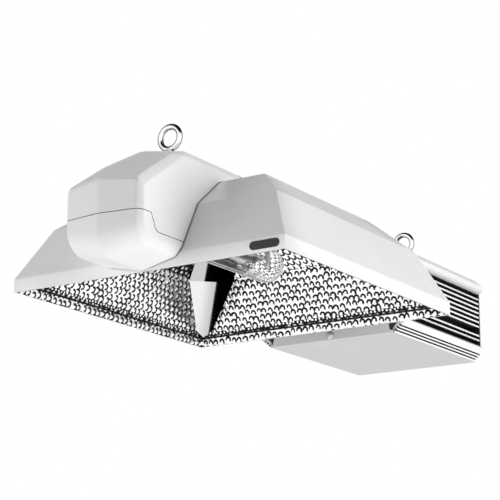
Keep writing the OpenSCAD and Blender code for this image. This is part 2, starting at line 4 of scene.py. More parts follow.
import bmesh
import bpy
import numpy as np
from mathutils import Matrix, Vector


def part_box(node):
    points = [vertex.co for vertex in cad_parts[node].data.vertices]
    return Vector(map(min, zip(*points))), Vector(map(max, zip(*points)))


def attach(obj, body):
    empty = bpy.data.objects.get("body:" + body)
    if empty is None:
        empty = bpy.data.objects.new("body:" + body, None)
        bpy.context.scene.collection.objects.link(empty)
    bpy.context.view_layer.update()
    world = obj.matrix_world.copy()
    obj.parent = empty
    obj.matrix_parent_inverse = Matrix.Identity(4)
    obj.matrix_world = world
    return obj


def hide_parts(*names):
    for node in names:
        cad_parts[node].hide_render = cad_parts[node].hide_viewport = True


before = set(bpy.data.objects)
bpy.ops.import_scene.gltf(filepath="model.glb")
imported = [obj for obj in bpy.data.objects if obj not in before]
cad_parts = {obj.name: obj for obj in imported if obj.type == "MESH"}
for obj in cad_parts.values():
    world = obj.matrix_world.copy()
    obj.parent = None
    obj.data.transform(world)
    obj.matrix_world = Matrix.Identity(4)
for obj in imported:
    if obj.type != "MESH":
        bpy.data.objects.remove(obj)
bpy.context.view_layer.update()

MM = 0.001

# ---- sizes, in millimetres above the hood's rim, read from the frame where a node gives them ----
RIM_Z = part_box("hood_near")[0].z
RIM_X = -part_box("hood_near")[0].x / MM
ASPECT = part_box("hood_left")[1].y / MM / RIM_X
BAND_H = 11.8
LINER_FOLD_Z = 8.5
LINER_LEAN = 1.8
FOLD_H = 58.4
FOLD_X = 119.2
TOP_H = (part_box("hood_top")[1].z - RIM_Z) / MM
TOP_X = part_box("hood_top")[1].x / MM
SHEET = (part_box("hood_top")[1].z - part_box("hood_top")[0].z) / MM
LINER_INSET = SHEET + 0.3
LINER_BACK = 0.5
LAMP_Z = ((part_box("lamp_glass")[0].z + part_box("lamp_glass")[1].z) / 2 - RIM_Z) / MM
TUBE_R = (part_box("lamp_glass")[1].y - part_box("lamp_glass")[0].y) / MM / 2
TUBE_X0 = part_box("lamp_glass")[0].x / MM
TIP_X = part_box("lamp_glass")[1].x / MM
LAMP_HOLE_R = 21.5
SPINE_TOP = -RIM_Z / MM
CAP_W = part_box("cap_upper_shell")[1].y / MM
CAP_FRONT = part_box("cap_upper_shell")[0].x / MM
CAP_WALL = 2.4
CAP_EDGE = 3.2
TAIL_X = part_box("cap_upper_shell")[1].x / MM
SEAM_Z = 35.7
SEAM_GAP = 0.6


# ---- mesh helpers ----

def above_rim(points):
    """Millimetre points, with heights above the rim, as metres in the frame."""
    p = np.asarray(points, float) * MM
    p[:, 2] += RIM_Z
    return p


def mesh_piece(name, points, faces, material, body, smooth=True):
    """A piece from millimetre points and faces; it rides on body."""
    mesh = bpy.data.meshes.new(name)
    mesh.from_pydata(above_rim(points).tolist(), [], [list(f) for f in faces])
    mesh.validate()
    return place(bpy.data.objects.new(name, mesh), material, body, smooth)


def place(piece, material, body, smooth=True):
    """Links a piece, gives it its material and slot, and lets it ride on body."""
    if piece.name not in bpy.context.scene.collection.objects:
        bpy.context.scene.collection.objects.link(piece)
    piece.data.materials.clear()
    piece.data.materials.append(material)
    if smooth:
        piece.data.polygons.foreach_set("use_smooth", [True] * len(piece.data.polygons))
    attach(piece, body)
    return piece


def fix_normals(piece):
    """Turns every face of a closed mesh outwards."""
    bm = bmesh.new()
    bm.from_mesh(piece.data)
    bmesh.ops.recalc_face_normals(bm, faces=bm.faces)
    bm.to_mesh(piece.data)
    bm.free()


def apply_modifiers(piece):
    """Bakes the modifiers of a piece into its mesh."""
    graph = bpy.context.evaluated_depsgraph_get()
    mesh = bpy.data.meshes.new_from_object(piece.evaluated_get(graph))
    piece.modifiers.clear()
    piece.data = mesh


def sharpen(piece, degrees):
    """Smooth shading, but with a sharp edge wherever two faces meet at more than this angle."""
    bm = bmesh.new()
    bm.from_mesh(piece.data)
    for face in bm.faces:
        face.smooth = True
    limit = math.radians(degrees)
    for edge in bm.edges:
        edge.smooth = len(edge.link_faces) == 2 and edge.calc_face_angle(4) < limit
    bm.to_mesh(piece.data)
    bm.free()


def bevel(piece, width, segments, degrees):
    """Rounds the edges where two faces meet at more than this angle; the width is in mm."""
    m = piece.modifiers.new("edge", "BEVEL")
    m.width = width * MM
    m.segments = segments
    m.limit_method = "ANGLE"
    m.angle_limit = math.radians(degrees)
    m.harden_normals = True
    return m


def grid_faces(rows, cols):
    """Quads of a grid of rows x cols points, as tuples."""
    i = np.arange(rows - 1)[:, None] * cols + np.arange(cols - 1)[None, :]
    quads = np.stack([i, i + 1, i + cols + 1, i + cols], -1).reshape(-1, 4)
    return [tuple(quad) for quad in quads]


def lathe(profile, steps, centre, closed=False):
    """Points and quads of a profile of (radius, distance along X) turned about the X axis."""
    turns = np.linspace(0, 2 * math.pi, steps, endpoint=False)
    pts = [(centre[0] + d, centre[1] + r * math.cos(t), centre[2] + r * math.sin(t))
           for r, d in profile for t in turns]
    faces = []
    for i in range(len(profile) - 1):
        for j in range(steps):
            k = (j + 1) % steps
            faces.append((i * steps + j, i * steps + k, (i + 1) * steps + k, (i + 1) * steps + j))
    if closed:
        faces.append(tuple(range(steps))[::-1])
        faces.append(tuple((len(profile) - 1) * steps + j for j in range(steps)))
    return pts, faces


# ---- materials ----

MOTTLING = 0.02


def new_material(name, base, rough, metallic=0.0, **sockets):
    """A material with a principled shader; returns it, its node tree and the shader."""
    mat = bpy.data.materials.new(name)
    mat.use_nodes = True
    shader = mat.node_tree.nodes["Principled BSDF"]
    shader.inputs["Base Color"].default_value = (*base, 1)
    shader.inputs["Roughness"].default_value = rough
    shader.inputs["Metallic"].default_value = metallic
    for key, value in sockets.items():
        shader.inputs[key.replace("_", " ")].default_value = value
    return mat, mat.node_tree, shader


def node(tree, kind, **settings):
    """A new node; each setting is the value of an input or a property."""
    n = tree.nodes.new(kind)
    for key, value in settings.items():
        if key in n.inputs:
            n.inputs[key].default_value = value
        else:
            setattr(n, key, value)
    return n


def position(tree, scale=(1, 1, 1)):
    """Place on the object, stretched by scale."""
    coords = node(tree, "ShaderNodeTexCoord")
    mapping = node(tree, "ShaderNodeMapping")
    mapping.inputs["Scale"].default_value = scale
    tree.links.new(coords.outputs["Object"], mapping.inputs["Vector"])
    return mapping.outputs["Vector"]


def noise(tree, where, scale, detail=3.0):
    """Smooth noise from 0 to 1."""
    n = node(tree, "ShaderNodeTexNoise", Scale=scale, Detail=detail)
    tree.links.new(where, n.inputs["Vector"])
    return n.outputs["Fac"]


def ramp(tree, value, stops):
    """Colour ramp from (position, grey or colour) stops."""
    n = node(tree, "ShaderNodeValToRGB")
    while len(n.color_ramp.elements) < len(stops):
        n.color_ramp.elements.new(0.5)
    for e, (at, c) in zip(n.color_ramp.elements, stops):
        e.position = at
        e.color = (*c, 1) if hasattr(c, "__len__") else (c, c, c, 1)
    tree.links.new(value, n.inputs["Fac"])
    return n.outputs["Color"]


def bump(tree, shader, height, strength, distance):
    """Fine relief from a height, for grain too small for the mesh."""
    n = node(tree, "ShaderNodeBump", Strength=strength, Distance=distance)
    tree.links.new(height, n.inputs["Height"])
    tree.links.new(n.outputs["Normal"], shader.inputs["Normal"])


def coated(name, base, rough, grain, strength=0.06, coat=0.0):
    """Paint or moulded plastic: a fine surface grain, and a faint unevenness in tone and gloss."""
    mat, tree, shader = new_material(name, base, rough, Coat_Weight=coat, Coat_Roughness=0.15)
    where = position(tree)
    tone = noise(tree, where, 18.0, 4.0)
    low = tuple(c * (1 - MOTTLING) for c in base)
    high = tuple(min(1, c * (1 + MOTTLING)) for c in base)
    tree.links.new(ramp(tree, tone, [(0.3, low), (0.7, high)]), shader.inputs["Base Color"])
    gloss = ramp(tree, noise(tree, where, 60.0, 2.0), [(0.3, rough * 0.9), (0.7, rough * 1.1)])
    tree.links.new(gloss, shader.inputs["Roughness"])
    bump(tree, shader, noise(tree, where, grain, 2.0), strength, 0.0002)
    return mat


def polished(name, base, rough, scratch=(1, 1, 1), strength=0.03):
    """Bright metal with faint directional polishing marks."""
    mat, tree, shader = new_material(name, base, rough, 1.0)
    marks = noise(tree, position(tree, scratch), 400.0, 3.0)
    tree.links.new(ramp(tree, marks, [(0.3, rough * 0.8), (0.7, rough * 1.25)]),
                   shader.inputs["Roughness"])
    bump(tree, shader, marks, strength, 0.0001)
    return mat


def reflector_metal():
    """Bright rolled aluminium with a painted dark reflection: its colour is painted near black on
    the side of each dimple that faces the unlit inside of the hood, and along the fold; an
    attribute of the mesh says where."""
    mat, tree, shader = new_material("dimpled_aluminium", (0.95, 0.95, 0.96), 0.14, 1.0)
    flank = node(tree, "ShaderNodeAttribute", attribute_name="flank")
    tone = ramp(tree, flank.outputs["Fac"],
                [(0.1, (0.95, 0.95, 0.96)), (0.75, (0.012, 0.012, 0.013))])
    tree.links.new(tone, shader.inputs["Base Color"])
    bump(tree, shader, noise(tree, position(tree), 900.0, 2.0), 0.05, 0.0001)
    return mat


def painted_gap_shade(mat, reach, low, high):
    """Paints shade into a coated material's colour in gaps and grooves narrower than reach, in
    metres.
    """
    tree = mat.node_tree
    shader = tree.nodes["Principled BSDF"]
    open_sky = node(tree, "ShaderNodeAmbientOcclusion", samples=8)
    open_sky.inputs["Distance"].default_value = reach
    paint = shader.inputs["Base Color"].links[0].from_socket
    mix = node(tree, "ShaderNodeMix", data_type="RGBA", blend_type="MULTIPLY")
    mix.inputs["Factor"].default_value = 1.0
    tree.links.new(paint, mix.inputs["A"])
    tree.links.new(ramp(tree, open_sky.outputs["AO"], [(low, 0.03), (high, 1.0)]), mix.inputs["B"])
    tree.links.new(mix.outputs["Result"], shader.inputs["Base Color"])
    return mat


def painted_edge_reflection(mat, start, end):
    """Paints a bright metal dark where it is seen edge on, a painted dark reflection."""
    tree = mat.node_tree
    shader = tree.nodes["Principled BSDF"]
    edge = node(tree, "ShaderNodeLayerWeight")
    edge.inputs["Blend"].default_value = 0.5
    bright = tuple(shader.inputs["Base Color"].default_value)[:3]
    tree.links.new(ramp(tree, edge.outputs["Facing"], [(start, bright), (end, (0.02, 0.02, 0.02))]),
                   shader.inputs["Base Color"])
    return mat


# Where the painted streaks of reflection inside the lamp's glass end, along X in metres
PAINTED_STREAK_END = 0.008


def clear_glass():
    """Clear glass, painted greyer where it is seen edge on, a painted reflection. Towards the base
    it has painted dark streaks, a painted reflection too.
    """
    mat, tree, shader = new_material("lamp_glass", (1, 1, 1), 0.01, IOR=1.45,
                                     Transmission_Weight=1.0)
    edge = node(tree, "ShaderNodeLayerWeight")
    edge.inputs["Blend"].default_value = 0.5
    # Painted reflection: the glass is painted grey where it is seen edge on
    rim = ramp(tree, edge.outputs["Facing"], [(0.80, 1.0), (0.95, 0.30)])
    # Painted dark streaks, a painted reflection
    painted_streaks = ramp(tree, noise(tree, position(tree, (0.02, 1, 1)), 150.0, 2.0),
                   [(0.45, 0.10), (0.56, 1.0)])
    x = node(tree, "ShaderNodeSeparateXYZ")
    tree.links.new(position(tree), x.inputs[0])
    clear = node(tree, "ShaderNodeMapRange")
    clear.inputs["From Min"].default_value = PAINTED_STREAK_END - 0.001
    clear.inputs["From Max"].default_value = PAINTED_STREAK_END + 0.001
    tree.links.new(x.outputs["X"], clear.inputs["Value"])
    lit = node(tree, "ShaderNodeMix", data_type="RGBA")
    tree.links.new(clear.outputs[0], lit.inputs["Factor"])
    tree.links.new(painted_streaks, lit.inputs["A"])
    lit.inputs["B"].default_value = (1, 1, 1, 1)
    tint = node(tree, "ShaderNodeMix", data_type="RGBA", blend_type="MULTIPLY")
    tint.inputs["Factor"].default_value = 1.0
    tree.links.new(rim, tint.inputs["A"])
    tree.links.new(lit.outputs["Result"], tint.inputs["B"])
    tree.links.new(tint.outputs["Result"], shader.inputs["Base Color"])
    return mat


# The hood, the cap and the ballast get painted shade in their gaps and grooves, and between the
# ballast's fins
HOOD = painted_gap_shade(coated("hood_powder_coat", (0.87, 0.87, 0.875), 0.35, grain=900.0, coat=0.15),
                   0.004, 0.45, 0.68)
CAP = painted_gap_shade(coated("cap_moulding", (0.85, 0.85, 0.855), 0.42, grain=1400.0, strength=0.04),
                  0.004, 0.45, 0.68)
BALLAST = painted_gap_shade(coated("ballast_powder_coat", (0.86, 0.86, 0.87), 0.38, grain=1000.0),
                      0.012, 0.66, 0.97)
PANEL = coated("ballast_panel_paint", (0.66, 0.66, 0.67), 0.40, grain=1100.0)
DARK = coated("black_moulding", (0.03, 0.03, 0.032), 0.4, grain=1500.0, strength=0.08)
RUBBER = coated("black_rubber", (0.02, 0.02, 0.02), 0.7, grain=1800.0, strength=0.1)
BADGE = coated("badge_enamel", (0.012, 0.012, 0.013), 0.45, grain=900.0)
CERAMIC = coated("glazed_ceramic", (0.78, 0.75, 0.68), 0.2, grain=500.0, coat=0.5)
BOARD = coated("solder_mask", (0.02, 0.14, 0.06), 0.35, grain=300.0, strength=0.2)
WINDING = coated("enamelled_wire", (0.45, 0.18, 0.06), 0.3, grain=220.0, strength=0.4)
FERRITE = coated("ferrite", (0.06, 0.06, 0.065), 0.55, grain=900.0)
SLEEVE = coated("capacitor_sleeve", (0.02, 0.03, 0.09), 0.3, grain=700.0)
LENS = coated("green_lens", (0.10, 0.55, 0.20), 0.1, grain=300.0)
ARC = coated("arc_ceramic", (0.85, 0.85, 0.82), 0.25, grain=400.0)
REFLECTOR = reflector_metal()
MIRROR = polished("deflector_mirror", (0.96, 0.96, 0.97), 0.01, strength=0.0)
# Chrome with a painted dark reflection where it is seen edge on
CHROME = painted_edge_reflection(polished("chrome", (0.86, 0.87, 0.88), 0.05), 0.2, 0.6)
ZINC = polished("zinc_plate", (0.62, 0.63, 0.65), 0.3, (1, 8, 8))
BRASS = polished("brass", (0.75, 0.55, 0.24), 0.25)
GLASS = clear_glass()


# ---- outline of the hood ----

def fillet(points, radius, steps=5):
    """A polyline of (a, z) points with its inner corners rounded."""
    out = [np.array(points[0], float)]
    for before, corner, after in zip(points, points[1:], points[2:]):
        c = np.array(corner, float)
        u = np.array(before, float) - c
        v = np.array(after, float) - c
        u /= np.linalg.norm(u)
        v /= np.linalg.norm(v)
        half = math.acos(np.clip(u @ v, -1, 1)) / 2
        reach = radius / math.tan(half)
        centre = c + (u + v) / np.linalg.norm(u + v) * radius / math.sin(half)
        a, b = c + u * reach - centre, c + v * reach - centre
        for i in range(steps + 1):
            t = i / steps
            d = a * (1 - t) + b * t
            out.append(centre + d / np.linalg.norm(d) * radius)
    out.append(np.array(points[-1], float))
    return np.array(out)


def wall_line(inset, end_inset):
    """Distance from the centre plane and height of a wall, inset from the hood's outside."""
    end_z = TOP_H - end_inset
    end_x = FOLD_X + (TOP_X - FOLD_X) * (end_z - FOLD_H) / (TOP_H - FOLD_H)
    return [(RIM_X - inset, 0), (RIM_X - inset, BAND_H), (FOLD_X - inset, FOLD_H),
            (end_x - inset, end_z)]


def liner_line(inset):
    """The same for the reflector, whose low band leans inwards up to its fold."""
    line = wall_line(inset, inset)
    line[1] = (RIM_X - inset - LINER_LEAN, LINER_FOLD_Z)
    return line


SIDES = {"near": (-1, 0), "far": (1, 0), "left": (0, 1), "right": (0, -1)}


def on_side(side, away, along, z):
    """Points at a distance away from the centre plane of one side, and along that side."""
    sx, sy = SIDES[side]
    if sx:
        return np.stack([sx * away, along, z], -1)
    return np.stack([along, sy * away, z], -1)


def side_scale(side):
    """How far a side stands from the centre, against the near side."""
    return 1.0 if SIDES[side][0] else ASPECT


def mitre_reach(side, away, inset):
    """Half width of a wall at its distance from the centre plane, up to the mitre."""
    if SIDES[side][0]:
        return (away + inset) * ASPECT - inset
    return (away + inset) / ASPECT - inset


OUTER_FOLD_R = 2.2
HOOD_EDGE = 0.25


def hood_panel(side):
    """Folded sheet of one side of the hood, with rounded folds."""
    k = side_scale(side)
    rows = []
    for inset, line in ((0, fillet(wall_line(0, SHEET), OUTER_FOLD_R)),
                        (SHEET, fillet(wall_line(SHEET, SHEET), OUTER_FOLD_R - SHEET))):
        away = (line[:, 0] + inset) * k - inset
        rows.append((inset, away, line[:, 1]))
    inset, away, z = rows[0]
    inner_inset, inner_away, inner_z = rows[1]
    ring_away = np.concatenate([away, inner_away[::-1]])
    ring_z = np.concatenate([z, inner_z[::-1]])
    ring_reach = np.concatenate([mitre_reach(side, away, inset),
                                 mitre_reach(side, inner_away, inner_inset)[::-1]])
    cols = 9
    spread = np.linspace(-1, 1, cols)
    along = ring_reach[:, None] * spread[None, :]
    pts = on_side(side, np.repeat(ring_away[:, None], cols, 1), along,
                  np.repeat(ring_z[:, None], cols, 1)).reshape(-1, 3)
    n = len(ring_away)
    faces = grid_faces(n, cols)
    faces += [((n - 1) * cols + j, (n - 1) * cols + j + 1, j + 1, j) for j in range(cols - 1)]
    faces += [tuple(i * cols for i in range(n)), tuple(i * cols + cols - 1 for i in range(n))[::-1]]
    piece = mesh_piece(f"hood_sheet_{side}", pts, faces, HOOD, "fixture")
    fix_normals(piece)
    if side == "near":
        cut_lamp_hole(piece)
    bevel(piece, HOOD_EDGE, 2, 50)
    apply_modifiers(piece)
    sharpen(piece, 40)
    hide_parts(f"hood_{side}")


def cut_lamp_hole(piece):
    """Cuts the hole that the lamp goes through in the near wall."""
    pts, faces = lathe([(LAMP_HOLE_R, 0), (LAMP_HOLE_R, 60)], 96, (-RIM_X, 0, LAMP_Z), closed=True)
    mesh = bpy.data.meshes.new("lamp_hole_cutter")
    mesh.from_pydata(above_rim(pts).tolist(), [], faces)
    cutter = bpy.data.objects.new("lamp_hole_cutter", mesh)
    bpy.context.scene.collection.objects.link(cutter)
    fix_normals(cutter)
    m = piece.modifiers.new("hole", "BOOLEAN")
    m.object = cutter
    m.operation = "DIFFERENCE"
    m.solver = "EXACT"
    apply_modifiers(piece)
    bpy.data.objects.remove(cutter)


# ---- dimpled reflector ----

# Dimples: spacing along a row and between rows, how far a centre strays, radius and height
PITCH = 7.0
ROW = 6.2
STRAY = 1.1
BUMP_R = 3.4
BUMP = 0.3
# Radius and half width of the ring that each painted dark reflection is part of
RING_R = 2.4
RING_HALF = 1.0
# Spacing of the mesh
STEP = 0.62
# The painted dark reflection along the fold, with painted glints in it: where it fades in and out,
# its crease, which is painted as a dark line, and how much finer the glints are than the dimples
PAINTED_FOLD_BAND = (6.8, 7.6, 12.6, 13.8)
CREASE_Z = 8.2
CREASE_HALF = 1.1
PAINTED_GLINT_SCALE = 1.7
# Seeds of the dimples' jitter
TOP_SEED = 11
SIDE_SEED = 20


def smoothstep(low, high, value):
    """0 to 1 as value goes from low to high, with level ends; low may be the larger."""
    t = np.clip((value - low) / (high - low), 0, 1)
    return t * t * (3 - 2 * t)


def dimples(u, s, seed, aim_u, aim_s):
    """Staggered round bumps with jittered centres, at u along a sheet and s up it: the height of
    each point, how much it lies on the painted dark reflection curving round its bump, and how much
    on the painted highlight near the top of the bump."""
    table = np.random.default_rng(seed).random((256, 256, 4))
    row = np.floor(s / ROW).astype(int)
    height, painted_arc, painted_highlight = np.zeros(u.shape), np.zeros(u.shape), np.zeros(u.shape)
    size = np.hypot(aim_u, aim_s)
    for dr in (-1, 0, 1):
        r = row + dr
        shift = (r % 2) * PITCH / 2
        col = np.floor((u - shift) / PITCH).astype(int)
        for dc in (-1, 0, 1):
            c = col + dc
            j = table[r % 256, c % 256]
            du = u - (c + 0.5) * PITCH - shift - (j[..., 0] - 0.5) * 2 * STRAY
            ds = s - (r + 0.5) * ROW - (j[..., 1] - 0.5) * 2 * STRAY
            grown = 0.78 + 0.32 * j[..., 2]
            away = np.hypot(du / grown, ds / (0.9 + 0.2 * j[..., 3]))
            turned = (du * aim_u + ds * aim_s) / size / np.maximum(np.hypot(du, ds), 0.1)
            ring = smoothstep(RING_HALF + 0.18, RING_HALF - 0.18, np.abs(away - RING_R))
            painted_arc = np.maximum(painted_arc, ring * smoothstep(-0.75, -0.15, turned))
            painted_highlight = np.maximum(painted_highlight, smoothstep(2.2, 0.8, away + turned))
            height = np.maximum(height, BUMP * grown * np.clip(1 - (away / BUMP_R) ** 2, 0, None))
    return height, painted_arc, painted_highlight


def resample(line, step):
    """Points along a polyline, evenly spaced, with their normals and distances along it."""
    seg = np.hypot(*np.diff(line, axis=0).T)
    dist = np.concatenate([[0], np.cumsum(seg)])
    count = int(dist[-1] / step) + 1
    s = np.linspace(0, dist[-1], count)
    pts = np.stack([np.interp(s, dist, line[:, 0]), np.interp(s, dist, line[:, 1])], -1)
    tangent = np.gradient(pts, axis=0)
    tangent /= np.linalg.norm(tangent, axis=1)[:, None]
    return pts, np.stack([-tangent[:, 1], tangent[:, 0]], -1), s


def dimpled_sheet(name, front, back, flank, rows, cols):
    """A closed thin sheet from the points of its dimpled front and the two ends of each row of its
    plain back, with the amount of painted dark reflection at each point of its front as an
    attribute."""
    total = rows * cols
    faces = grid_faces(rows, cols)
    left = [total + 2 * i for i in range(rows)]
    right = [total + 2 * i + 1 for i in range(rows)]
    faces += [(left[i + 1], right[i + 1], right[i], left[i]) for i in range(rows - 1)]
    faces += [(i * cols, (i + 1) * cols, left[i + 1], left[i]) for i in range(rows - 1)]
    faces += [(right[i], right[i + 1], (i + 2) * cols - 1, (i + 1) * cols - 1)
              for i in range(rows - 1)]
    faces.append((left[0], right[0], *range(cols - 1, -1, -1)))
    faces.append((right[-1], left[-1], *range(total - cols, total)))
    piece = mesh_piece(name, np.vstack([front, back]), faces, REFLECTOR, "fixture")
    layer = piece.data.attributes.new("flank", "FLOAT", "POINT")
    layer.data.foreach_set("value", np.concatenate([flank.ravel(), np.zeros(2 * rows)]))
    fix_normals(piece)
    return piece


def ends(grid):
    """First and last column of a grid."""
    return np.stack([grid[:, 0], grid[:, -1]], -1)


# For each side: which way its painted dark reflections face below the fold, and above it
PAINTED_ARC_AIM = {"near": ((0.3, 1.0), (0.3, -1.0)), "far": ((-0.35, 1.0), (-0.5, -1.0)),
           "left": ((0.97, 0.1), (0.8, 0.6)), "right": ((0.97, 0.1), (0.8, 0.6))}
# Where the sheets beside the lamp get a painted dark reflection towards their far end, along them
# and up them, and how dark it is painted there and on their shoulder above the hood's fold
PAINTED_DARK_END = (40, 80)
PAINTED_DARK_END_Z = (16, 26)
PAINTED_DARK_END_LEVEL = 0.5
PAINTED_SHOULDER_LEVEL = 0.97


def shade(side, along, z):
    """How dark the sheet is painted between the tops of its dimples, a painted reflection: the
    sheets beside the lamp are painted dark, as if mirroring the dark inside of the hood, towards
    their far end, and above the fold."""
    if SIDES[side][0]:
        return np.zeros(along.shape)
    end = smoothstep(*PAINTED_DARK_END, along) * smoothstep(*PAINTED_DARK_END_Z, z)
    return np.maximum(PAINTED_DARK_END_LEVEL * end, PAINTED_SHOULDER_LEVEL * smoothstep(FOLD_H - 2, FOLD_H, z))


def liner_panel(side, seed):
    """Reflector sheet of one side: bumps stand out of it towards the lamp."""
    k = side_scale(side)
    inset = LINER_INSET + LINER_BACK
    line = fillet(liner_line(inset), 3.0)
    line[:, 0] = (line[:, 0] + inset) * k - inset
    profile, normal, s = resample(line, STEP)
    reach = mitre_reach(side, profile[:, 0], inset)
    cols = int(2 * reach[0] / STEP) + 1
    along = reach[:, None] * np.linspace(-1, 1, cols)[None, :]
    up = np.repeat(s[:, None], cols, 1)
    z = np.repeat(profile[:, 1][:, None], cols, 1)
    low, high = PAINTED_ARC_AIM[side]
    above = z > FOLD_H
    height, painted_arc, painted_highlight = dimples(along + 500, up, seed, np.where(above, high[0], low[0]),
                                 np.where(above, high[1], low[1]))
    edge = np.minimum(np.minimum(reach[:, None] - np.abs(along), up), s[-1] - up)
    height *= np.clip(edge / 1.5, 0, 1)
    # Painted dark reflection: the dark arcs round the bumps, and the darkening between the bumps'
    # painted highlights
    flank = np.maximum(painted_arc, shade(side, along, z) * (1 - painted_highlight))
    # The band along the fold is painted dark with painted glints in it, and its crease is painted
    # as a dark line of shade
    fold = smoothstep(*PAINTED_FOLD_BAND[:2], z) * smoothstep(*PAINTED_FOLD_BAND[:1:-1], z)
    painted_crease_shade = np.exp(-((z - CREASE_Z) / CREASE_HALF) ** 2)
    painted_glints = dimples(along * PAINTED_GLINT_SCALE + 900, up * PAINTED_GLINT_SCALE, seed + 50, 0.3, 1.0)[2]
    flank = flank * (1 - fold) + fold * (1 - np.maximum(0.8 * painted_highlight, smoothstep(0.1, 0.5, painted_glints)))
    flank = np.clip(np.maximum(flank, painted_crease_shade), 0, 1)
    sheet = profile[:, 0][:, None] + normal[:, 0][:, None] * height
    front = on_side(side, sheet, along, z + normal[:, 1][:, None] * height).reshape(-1, 3)
    back_away = np.repeat((profile[:, 0] - normal[:, 0] * LINER_BACK)[:, None], 2, 1)
    back_z = np.repeat((profile[:, 1] - normal[:, 1] * LINER_BACK)[:, None], 2, 1)
    back = on_side(side, back_away, ends(along), back_z).reshape(-1, 3)
    piece = dimpled_sheet(f"dimpled_liner_{side}", front, back, flank, len(s), cols)
    if side == "near":
        cut_lamp_hole(piece)
    sharpen(piece, 70)
    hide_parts(f"liner_{side}")


def liner_top():
    """Reflector sheet under the top of the hood."""
    half_x = TOP_X - LINER_INSET - 1.5
    half_y = half_x * ASPECT
    base = TOP_H - LINER_INSET - LINER_BACK
    rows, cols = int(2 * half_x / STEP), int(2 * half_y / STEP)
    x = np.linspace(-half_x, half_x, rows)[:, None] * np.ones((1, cols))
    y = np.linspace(-half_y, half_y, cols)[None, :] * np.ones((rows, 1))
    edge = np.minimum(half_x - np.abs(x), half_y - np.abs(y))
    # The top sheet gets only the painted dark reflections round its bumps
    height, painted_arc, _ = dimples(y + 500, x + 500, TOP_SEED, 0.5, 0.8)
    height *= np.clip(edge / 1.5, 0, 1)
    front = np.stack([x, y, base - height], -1).reshape(-1, 3)
    back = np.stack([ends(x), ends(y), np.full((rows, 2), base + LINER_BACK)], -1).reshape(-1, 3)
    piece = dimpled_sheet("dimpled_liner_top", front, back, painted_arc, rows, cols)
    sharpen(piece, 70)
    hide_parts("liner_top")


# ---- corner deflectors ----

# Height above the rim, distance from each wall's corner, at the plate's low end, fold and top
DEFLECTOR_LOW = (13.5, 11.0)
DEFLECTOR_FOLD = (54.8, 31.0)
DEFLECTOR_TOP = (81.0, 24.0)
DEFLECTOR_TIP = 0.13
DEFLECTOR_GAP = 0.9
DEFLECTOR_SHEET = 0.5


def inner_corner(z):
    """Inside corner of the liner at a height above the rim."""
    (x0, z0), (x1, z1) = liner_line(0)[1:3] if z < FOLD_H else liner_line(0)[2:4]
    x = x0 + (x1 - x0) * (z - z0) / (z1 - z0)
    inset = LINER_INSET + LINER_BACK + DEFLECTOR_GAP
    return np.array([x - inset, x * ASPECT - inset, z])


def deflectors():
    """A bright folded plate across each inside corner; its low end is cut to a point."""
    pts, faces = [], []
    across_x, across_y = np.array([1, 0, 0]), np.array([0, 1, 0])
    for sx in (-1, 1):
        for sy in (-1, 1):
            ends_x, ends_y = [], []
            for z, leg in (DEFLECTOR_LOW, DEFLECTOR_FOLD, DEFLECTOR_TOP):
                ends_x.append(inner_corner(z) - leg * across_x)
                ends_y.append(inner_corner(z) - leg * across_y)
            low = (ends_x[0] + ends_y[0]) / 2
            tip = low + (low - (ends_x[1] + ends_y[1]) / 2) * DEFLECTOR_TIP
            outline = [tip, ends_x[0], ends_x[1], ends_x[2], ends_y[2], ends_y[1], ends_y[0]]
            first, n = len(pts), len(outline)
            for lift in (0, DEFLECTOR_SHEET):
                pts += [(sx * (p[0] + lift), sy * (p[1] + lift), p[2] + lift) for p in outline]
            for side in (0, n):
                faces.append([first + side + i for i in (0, 1, 2, 5, 6)])
                faces.append([first + side + i for i in (2, 3, 4, 5)])
            faces += [[first + i, first + (i + 1) % n, first + n + (i + 1) % n, first + n + i]
                      for i in range(n)]
    piece = mesh_piece("corner_mirrors", pts, faces, MIRROR, "fixture", smooth=False)
    fix_normals(piece)
    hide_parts("corner_deflectors")


# ---- cap ----

def arc_points(x_front, x_end, z_side, z_end, y, steps=6):
    """Quarter of an ellipse from the front of the cap down to its underside."""
    out = []
    for i in range(steps + 1):
        t = math.pi / 2 * i / steps
        out.append((x_front + (x_end - x_front) * (1 - math.cos(t)), y,
                    z_side + (z_end - z_side) * math.sin(t)))
    return out


def cap_points():
    """Corners of the cap's outside, left half."""
    f = CAP_FRONT
    top = SPINE_TOP
    w = CAP_W
    pts = [(f, 0, 64), (f + 1.6, 0, 67), (f + 6.7, 0, 69.5)]
    pts += arc_points(f, f + 23.6, 22, 0, 0)
    pts += [(-100, 0, 0.5)]
    pts += [(f + 4.7, 35.3, 61.5), (f + 8.9, 35, 65.3)]
    pts += arc_points(f + 4.7, f + 26, 27, 7.6, 35.3)
    pts += [(-100, 32, 7.6)]
    pts += [(f + 10.6, w, 56), (f + 13.3, w, 58.5)]
    pts += arc_points(f + 10.6, f + 28, 31, 15, w)
    pts += [(-100, w, 14.6)]
    pts += [(-147, 0, top), (-128, w - 8.5, top), (-139.2, w, top - 8.5), (-152.5, w - 4, 94.5)]
    pts += [(TAIL_X, 0, top), (TAIL_X, w - 8.5, top), (TAIL_X, w, top - 8.5), (TAIL_X, w, TOP_H)]
    return pts


